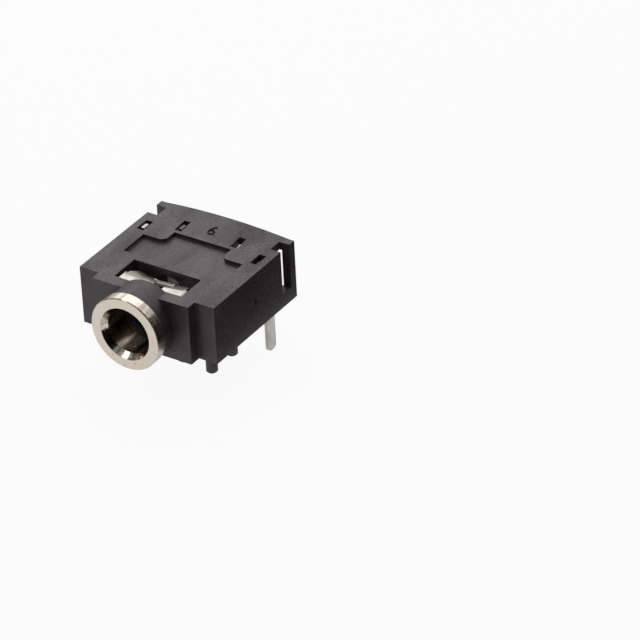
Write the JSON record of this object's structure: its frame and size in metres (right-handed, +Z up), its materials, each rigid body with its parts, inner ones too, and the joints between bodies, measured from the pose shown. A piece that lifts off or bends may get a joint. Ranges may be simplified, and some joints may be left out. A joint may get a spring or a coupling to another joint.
{
  "type": "audio jack socket",
  "caption": "Flat board-mount stereo jack socket: black moulded housing with a round metal collar, plug bore, break contacts, flat solder pins and round locating posts underneath.",
  "frame": {"origin": "on the front face of the collar, straight below the plug axis, at the height of the board surface under the housing", "axes": "+Z up from the board, -Y out of the plug mouth, +X to the right seen from the front"},
  "size_m": [0.012, 0.0138, 0.009],
  "materials": {
    "housing": "black moulded thermoplastic, fine satin skin",
    "collar": "turned brass, nickel plated",
    "contact": "stamped sheet, bright plated"
  },
  "bodies": {
    "root": {"housing": "housing", "collar": "collar", "sleeve_contact": "contact", "tip_spring": "contact", "tip_switch": "contact", "ring_switch": "contact", "ring_spring": "contact"}
  },
  "joints": []
}
